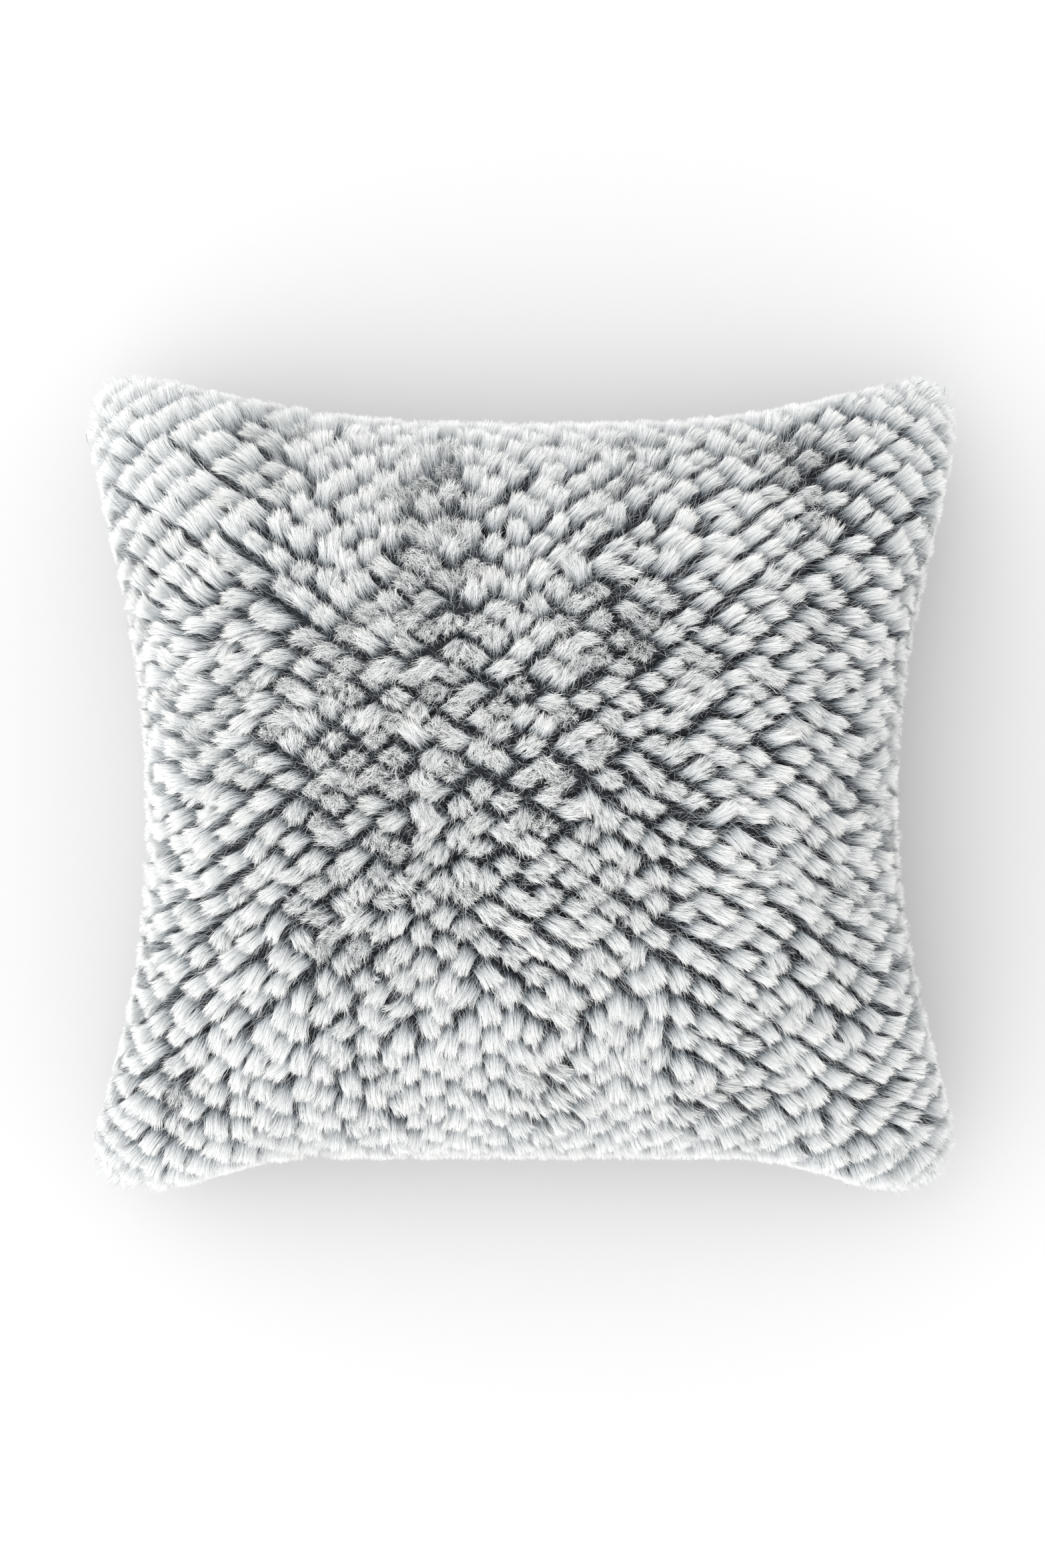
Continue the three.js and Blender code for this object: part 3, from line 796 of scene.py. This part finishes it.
def metal_material():
    """Nickel plate, brushed along the zip, a little worn."""
    made, nodes, links, shader = material("brushed_nickel", roughness=0.3, Metallic=1.0)
    stretch = nodes.new("ShaderNodeMapping")
    stretch.inputs["Scale"].default_value = (150, 150, 4000)  # long along the zip, fine across it
    links.new(object_place(nodes), stretch.inputs["Vector"])
    grain = nodes.new("ShaderNodeTexNoise")
    grain.inputs["Scale"].default_value = 1
    links.new(stretch.outputs["Vector"], grain.inputs["Vector"])
    greys = [(0.3, (0.52, 0.52, 0.53)), (0.7, (0.70, 0.70, 0.70))]
    coloured(nodes, links, shader, grain.outputs["Fac"], greys)
    smoothest, wear = 0.14, 0.35
    worn = maths(nodes, links, "MULTIPLY", noise_on(nodes, links, scale=400), wear)
    links.new(maths(nodes, links, "ADD", worn, smoothest), shader.inputs["Roughness"])
    return made


def coil(node, side, finish):
    """One side's nylon coil. It meshes with the other side's, half a turn away."""
    low, high = corners(node)
    wire = 0.00034
    pitch = 0.0016
    middle = (low + high) / 2
    half_height = (high[2] - low[2]) / 2 - wire
    half_depth = (high[1] - low[1]) / 2 - wire
    turns = (high[0] - low[0] - 2 * wire) / pitch
    steps_each = 14
    wound = np.linspace(0, 2 * math.pi * turns, round(turns * steps_each))
    angle = wound + (0 if side > 0 else math.pi)
    x = low[0] + wire + pitch * (angle - angle[0]) / (2 * math.pi)
    y = middle[1] + half_depth * np.cos(angle)
    z = middle[2] + side * half_height * np.sin(angle)
    piece = mesh_object(node + "_coil", *tube(np.stack([x, y, z], axis=-1), wire))
    place(piece, finish, node)


def tape(node, finish):
    """A woven tape with rounded outer ends, rippled a little by its sewing, held under the coil."""
    low, high = corners(node)
    side = 1 if low[2] > ZIP_Z else -1
    inner, outer = (low[2], high[2]) if side > 0 else (high[2], low[2])
    under_coil = 0.0009
    inner -= side * under_coil
    u, v = np.meshgrid(np.linspace(0, 1, 241), np.linspace(0, 1, 13))
    rounding, straight_to = 0.004, 0.7
    end_round = rounding * np.clip(v - straight_to, 0, None) ** 2 / (1 - straight_to) ** 2
    x = low[0] + end_round + (high[0] - low[0] - 2 * end_round) * u
    z = inner + (outer - inner) * v
    ripple_height, ripple_length = 0.00012, 0.009
    ripple = ripple_height * np.sin(x * 2 * math.pi / ripple_length) * v
    points = np.stack([x, ZIP_Y + ripple, z], axis=-1)
    piece = mesh_object(node + "_weave", points.reshape(-1, 3), grid_faces(*u.shape, flipped=side < 0))
    thicken(piece, thickness=0.0004)
    place(piece, finish, node)


def sew_tape(node, finish):
    """The stitching that holds a tape to the cover, through both."""
    low, high = corners(node)
    height = (low[2] + high[2]) / 2
    length = high[0] - low[0]
    through = 0.0005  # how far a stitch swings to each side of the tape

    def line_at(u):
        depth = ZIP_Y + through * np.cos(u * round(length / STITCH) * math.pi)
        return np.stack([low[0] + length * u, depth, height + 0 * u], axis=-1)

    stitch_line(node, line_at, length, finish, "thread")


def finish_metal(finish):
    """The slider, its pull and the stops keep their own shapes, with their edges eased."""
    stops = ["zip_top_stop_front", "zip_top_stop_back", "zip_bottom_stop"]
    for node in ["zip_slider", "zip_pull", *stops]:
        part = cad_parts[node]
        part.data.materials.clear()
        part.data.materials.append(finish)
        ease = part.modifiers.new("eased_edges", "BEVEL")
        ease.width = 0.00018
        ease.segments = 2
        ease.limit_method = "ANGLE"
        ease.angle_limit = math.radians(35)


def build_zip(thread):
    weave = tape_material()
    nylon = coil_material()
    for side, label in ((1, "front"), (-1, "back")):
        tape(f"zip_tape_{label}", weave)
        coil(f"zip_teeth_{label}", side, nylon)
        sew_tape(f"zip_stitching_{label}", thread)
    finish_metal(metal_material())


# ---- Insert ---------------------------------------------------------------------------------------


def cotton_material(name, first, second):
    """A plain weave: two sets of yarns, with slubs."""
    made, nodes, links, shader = material(name, roughness=0.85, Sheen_Weight=0.15)
    x, y, _ = split_place(nodes, links)
    yarn = 0.0005
    warp = maths(nodes, links, "PINGPONG", x, yarn)
    weft = maths(nodes, links, "PINGPONG", y, yarn)
    both = maths(nodes, links, "MULTIPLY", maths(nodes, links, "ADD", warp, weft), 0.5 / yarn)
    slubs = noise_on(nodes, links, scale=220, detail=4.0)
    woven = maths(nodes, links, "MULTIPLY", both, 0.6)
    slubbed = maths(nodes, links, "MULTIPLY", slubs, 0.4)
    amount = maths(nodes, links, "ADD", woven, slubbed)
    coloured(nodes, links, shader, amount, [(0.25, first), (0.75, second)])
    raised(nodes, links, shader, both, distance=0.00015)
    return made


def swell(points, faces):
    """The points after the cloth has swelled under pressure, none of them moved beyond the cap."""
    form = mesh_object("swelling_form", points, faces)
    cloth = form.modifiers.new("cloth", "CLOTH")
    settings = cloth.settings
    settings.use_pressure = True
    settings.uniform_pressure_force = 4
    settings.shrink_min = -0.05
    settings.effector_weights.gravity = 0
    settings.tension_stiffness = 25
    settings.compression_stiffness = 8
    settings.bending_stiffness = 0.4
    scene = bpy.context.scene
    last_frame = 20
    for number in range(1, last_frame + 1):
        scene.frame_set(number)
    held = form.evaluated_get(bpy.context.evaluated_depsgraph_get())
    after = np.empty(len(points) * 3)
    held.data.vertices.foreach_get("co", after)
    scene.frame_set(1)
    bpy.data.objects.remove(form)
    push = after.reshape(-1, 3) - points
    size = np.linalg.norm(push, axis=-1, keepdims=True)
    return points + push * np.minimum(1, SWELL_CAP / np.maximum(size, 1e-9))


def two_faces(s, t, inset, edge_inset):
    """The points of a front and a back sheet that meet at their rims."""
    return [surface(s, t, side, inset, edge_inset).reshape(-1, 3) for side in (1, -1)]


def build_insert():
    """The insert's two cotton panels, swelled by the fill as one closed form."""
    s, t = panel_grid(72)
    shape = s.shape
    sheets = two_faces(s, t, INSERT_INSET + SWELL_CAP, INSERT_EDGE + SWELL_CAP)
    front = grid_faces(*shape)
    back = grid_faces(*shape, flipped=True)
    cotton = cotton_material("cotton_cambric", (0.70, 0.69, 0.66), (0.86, 0.85, 0.82))
    sheets = swelled_sheets(sheets, front, back, shape)
    for label, points, faces in (("front", sheets[0], front), ("back", sheets[1], back)):
        piece = mesh_object(f"insert_{label}_cotton", points, faces)
        thicken(piece, thickness=0.0006, offset=-1)
        place(piece, cotton, f"insert_{label}_panel")


def swelled_sheets(sheets, front, back, shape):
    """Joins the two sheets at their rims, swells them as one, and parts them again."""
    count = len(sheets[0])
    at = np.arange(count).reshape(shape)
    rim = np.zeros(shape, bool)
    rim[0] = rim[-1] = rim[:, 0] = rim[:, -1] = True
    rim = rim.ravel()
    to_shared = np.arange(count) + count
    to_shared[rim] = at.ravel()[rim]
    used = np.concatenate([np.arange(count), to_shared[~rim]])
    number = np.full(2 * count, -1)
    number[used] = np.arange(len(used))
    both = np.concatenate([sheets[0], sheets[1]])[used]
    faces = np.concatenate([number[front], number[to_shared[back]]])
    swollen = swell(both, faces)
    return [swollen[number[np.arange(count)]], swollen[number[to_shared]]]


def fibre_material():
    made, nodes, links, shader = material("polyester_fibre", roughness=0.95, Sheen_Weight=0.4)
    strands = noise_on(nodes, links, scale=500, detail=8.0)
    coloured(nodes, links, shader, strands, [(0.3, (0.72, 0.72, 0.73)), (0.7, (0.90, 0.90, 0.90))])
    raised(nodes, links, shader, strands, distance=0.001)
    return made


def build_fill():
    """The fibre fill: one closed lumpy block, like wadding pulled into tufts."""
    s, t = panel_grid(64)
    clearance, edge_clearance = 0.0035, 0.006
    inset = INSERT_INSET + SWELL_CAP + clearance
    sheets = two_faces(s, t, inset, INSERT_EDGE + SWELL_CAP + edge_clearance)
    lumps = 0.0022
    middle = np.array([0, CENTRE_Y, ZIP_Z])
    for points in sheets:
        inward = unit(middle - points)
        points += inward * lumps * (1 + np.clip(drift(points, wavelength=0.03)[:, :1], -1, 1))
    front = grid_faces(*s.shape)
    back = grid_faces(*s.shape, flipped=True) + len(sheets[0])
    piece = mesh_object("fibre_wadding", np.concatenate(sheets), np.concatenate([front, back]))
    weld = piece.modifiers.new("joined_rims", "WELD")
    weld.merge_threshold = 0.004
    place(piece, fibre_material(), "fibre_fill")


def label_material():
    """Plain woven satin with fine ribs and no lettering."""
    made, nodes, links, shader = material("woven_satin", roughness=0.45, Sheen_Weight=0.3)
    _, y, _ = split_place(nodes, links)
    ribs = ridges(nodes, links, y, width=0.00025)
    coloured(nodes, links, shader, ribs, [(0.2, (0.72, 0.71, 0.68)), (0.8, (0.88, 0.87, 0.84))])
    raised(nodes, links, shader, ribs, distance=0.0001)
    return made


def satin_label(node, s_range, t_range, finish):
    """A small satin label that lies between the cover and the insert, its free edge curled."""
    line = np.linspace(0, 1, 25)
    u, v = np.meshgrid(line, line)
    s = s_range[0] + (s_range[1] - s_range[0]) * u
    t = t_range[0] + (t_range[1] - t_range[0]) * v
    inset = (COVER_THICKNESS + INSERT_INSET) / 2
    points = surface(s, t, -1, inset, INSERT_EDGE - INSERT_INSET + inset)
    curl = 0.0003
    points[..., 2] += curl * np.sin(u * math.pi * 3) * v
    piece = mesh_object(node + "_satin", points.reshape(-1, 3), grid_faces(*u.shape, flipped=True))
    thicken(piece, thickness=0.0003)
    place(piece, finish, node)


# ---- Scene ----------------------------------------------------------------------------------------


def build_camera():
    """A camera straight above the pillow."""
    data = bpy.data.cameras.new("camera")
    data.sensor_fit = "HORIZONTAL"
    data.sensor_width = CAMERA_SENSOR
    data.lens = CAMERA_LENS
    camera = bpy.data.objects.new("camera", data)
    bpy.context.scene.collection.objects.link(camera)
    camera.location = (0, 0, SEAM_HEIGHT + VIEW_WIDTH * CAMERA_LENS / CAMERA_SENSOR)
    bpy.context.scene.camera = camera


def build_floor():
    half = 3.0
    around = [(-half, -half, 0), (half, -half, 0), (half, half, 0), (-half, half, 0)]
    floor = mesh_object("floor", around, [(0, 1, 2, 3)])
    made, _, _, shader = material("floor_paper", roughness=0.95)
    shader.inputs["Base Color"].default_value = (FLOOR_SHADE, FLOOR_SHADE, FLOOR_SHADE, 1)
    floor.data.materials.append(made)


def build_light():
    """An even white sky, and a broad soft light from the left."""
    world = bpy.data.worlds.new("studio")
    world.use_nodes = True
    sky = world.node_tree.nodes["Background"]
    sky.inputs["Color"].default_value = (1, 1, 1, 1)
    sky.inputs["Strength"].default_value = SKY_STRENGTH
    bpy.context.scene.world = world
    data = bpy.data.lights.new("softbox", "SUN")
    data.angle = SUN_SPREAD
    data.energy = SUN_STRENGTH
    lamp = bpy.data.objects.new("softbox", data)
    bpy.context.scene.collection.objects.link(lamp)
    lamp.location = SUN_PLACE
    aimed_at = Vector((0, 0, 0.05))
    lamp.rotation_euler = (aimed_at - lamp.location).to_track_quat("-Z", "Y").to_euler()


bpy.context.scene.view_settings.view_transform = "Standard"
build_camera()
build_floor()
build_light()

fur = fur_material()
knit = backing_material()
backing("front", 1, "front_cover", knit)
backing("back", -1, "back_cover", knit)
grow_fur("front", 1, "front_cover", fur, per_tuft=350, under=80, width=0.00017, tiles=5)
grow_fur("back", -1, "back_cover", fur, per_tuft=140, under=20, width=0.00034, tiles=3)
thread = thread_material()
sew_seams(thread, cotton_material("cotton_thread", (0.62, 0.61, 0.58), (0.80, 0.79, 0.76)))
build_zip(thread)
build_insert()
build_fill()
satin = label_material()
satin_label("care_label", (-0.9, -0.74), (-0.52, -0.4), satin)
satin_label("insert_label", (0.7, 0.86), (-0.5, -0.34), satin)
